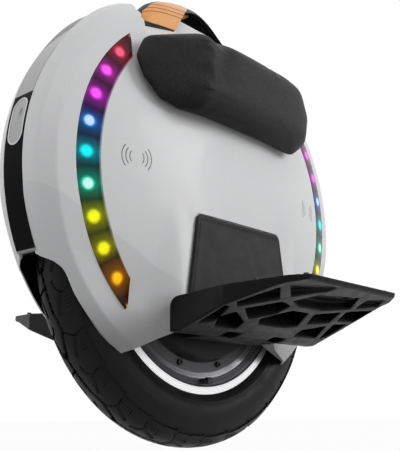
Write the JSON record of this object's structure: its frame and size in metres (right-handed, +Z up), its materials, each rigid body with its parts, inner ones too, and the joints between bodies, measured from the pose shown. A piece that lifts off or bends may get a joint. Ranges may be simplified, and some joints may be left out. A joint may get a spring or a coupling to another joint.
{
  "type": "electric unicycle",
  "caption": "Self-balancing wheel in a crowned shell, with leg pads, folding pedals, arc lamps, a headlight strip and a telescopic carrying handle.",
  "frame": {"origin": "on the ground under the axle, in the middle plane of the wheel", "axes": "+X forwards, towards the headlight; +Y to the rider's left; +Z up"},
  "size_m": [0.512, 0.452, 0.5482],
  "materials": {
    "white_shell": "glossy white",
    "grey_cover": "satin light grey",
    "black_gloss": "glossy black",
    "black_plastic": "satin black",
    "inner_black": "matt black",
    "tread": "moulded rubber",
    "tube_rubber": "matt",
    "grip_rubber": "textured",
    "leather": "grained, stitched",
    "polished": "polished",
    "cast_black": "satin black over a casting",
    "dark_metal": "satin dark grey",
    "steel": "brushed",
    "screw_black": "blackened",
    "magnet": "nickelled",
    "laminations": "stacked sheet",
    "copper": "enamelled copper wire",
    "cable": "matt",
    "battery_wrap": "blue shrink wrap",
    "board": "solder mask",
    "bare_aluminium": "extruded",
    "smoked_lens": "smoked, ribbed",
    "clear_lens": "clear",
    "red_lens": "red",
    "reflector": "bright",
    "lamp_white": "milky",
    "lamp": "coloured light",
    "orange": "satin orange"
  },
  "bodies": {
    "body": {"axle": "steel", "axle_nuts": "steel", "stator_core": "laminations", "windings": "copper", "motor_cable": "cable", "hanger_left": "cast_black", "hanger_right": "cast_black", "hinge_pins": "steel", "inner_shell_left": "inner_black", "inner_shell_right": "inner_black", "side_panel_left": "white_shell", "side_panel_right": "white_shell", "shell_screws": "screw_black", "front_strip": "black_gloss", "rear_strip": "black_gloss", "top_cover": "grey_cover", "rear_cover": "grey_cover", "spine": "white_shell", "headlight_bezel": "white_shell", "headlight_lens": "clear_lens", "headlight_reflector": "reflector", "tail_lens": "red_lens", "arc_lenses": "smoked_lens", "light_guides": "lamp_white", "lamps": "lamp", "upper_pad_left": "leather", "upper_pad_right": "leather", "lower_pad_left": "leather", "lower_pad_right": "leather", "battery_packs": "battery_wrap", "control_board": "board", "heat_sink": "bare_aluminium", "fan_housing": "black_plastic", "speakers": "black_plastic", "trolley_guides": "dark_metal", "charge_socket": "black_plastic"},
    "wheel": {"tyre": "tread", "inner_tube": "tube_rubber", "valve": "steel", "rim": "polished", "motor_cover_left": "dark_metal", "motor_cover_right": "dark_metal", "cover_screws": "screw_black", "rotor_ring": "steel", "magnets": "magnet", "wheel_bearings": "steel"},
    "left_pedal": {"pedal_left": "cast_black", "pedal_grips_left": "grip_rubber", "pedal_studs_left": "steel"},
    "right_pedal": {"pedal_right": "cast_black", "pedal_grips_right": "grip_rubber", "pedal_studs_right": "steel"},
    "trolley_stage": {"trolley_tubes": "bare_aluminium"},
    "trolley_handle": {"handle_rods": "bare_aluminium", "handle": "black_gloss", "handle_plates": "orange"},
    "release": {"release_button": "orange"},
    "power": {"power_button": "black_plastic"},
    "socket_flap": {"charge_flap": "tube_rubber"},
    "fan": {"fan_rotor": "black_plastic"}
  },
  "joints": [
    {"name": "wheel_spin", "type": "hinge", "parent": "body", "child": "wheel", "pos_m": [0, 0, 0.2165], "axis": [0, 1, 0], "continuous": true},
    {"name": "left_pedal_fold", "type": "hinge", "parent": "body", "child": "left_pedal", "pos_m": [0, 0.091, 0.1405], "axis": [1, 0, 0], "range_deg": [0, 78]},
    {"name": "right_pedal_fold", "type": "hinge", "parent": "body", "child": "right_pedal", "pos_m": [0, -0.091, 0.1405], "axis": [-1, 0, 0], "range_deg": [0, 78]},
    {"name": "stage_slide", "type": "slide", "parent": "body", "child": "trolley_stage", "axis": [0, 0, 1], "range_m": [0, 0.165]},
    {"name": "handle_slide", "type": "slide", "parent": "trolley_stage", "child": "trolley_handle", "axis": [0, 0, 1], "range_m": [0, 0.165]},
    {"name": "release_press", "type": "slide", "parent": "trolley_handle", "child": "release", "axis": [0, 0, 1], "range_m": [0, 0.003], "stiffness_N_per_m": 600},
    {"name": "power_press", "type": "slide", "parent": "body", "child": "power", "axis": [0.454, 0, -0.891], "range_m": [0, 0.002], "stiffness_N_per_m": 600},
    {"name": "flap_swing", "type": "hinge", "parent": "body", "child": "socket_flap", "pos_m": [-0.2534, 0, 0.2787], "axis": [0, 1, 0], "range_deg": [0, 100]},
    {"name": "fan_spin", "type": "hinge", "parent": "body", "child": "fan", "pos_m": [-0.13, 0, 0.447], "axis": [0, 0, 1], "continuous": true}
  ]
}
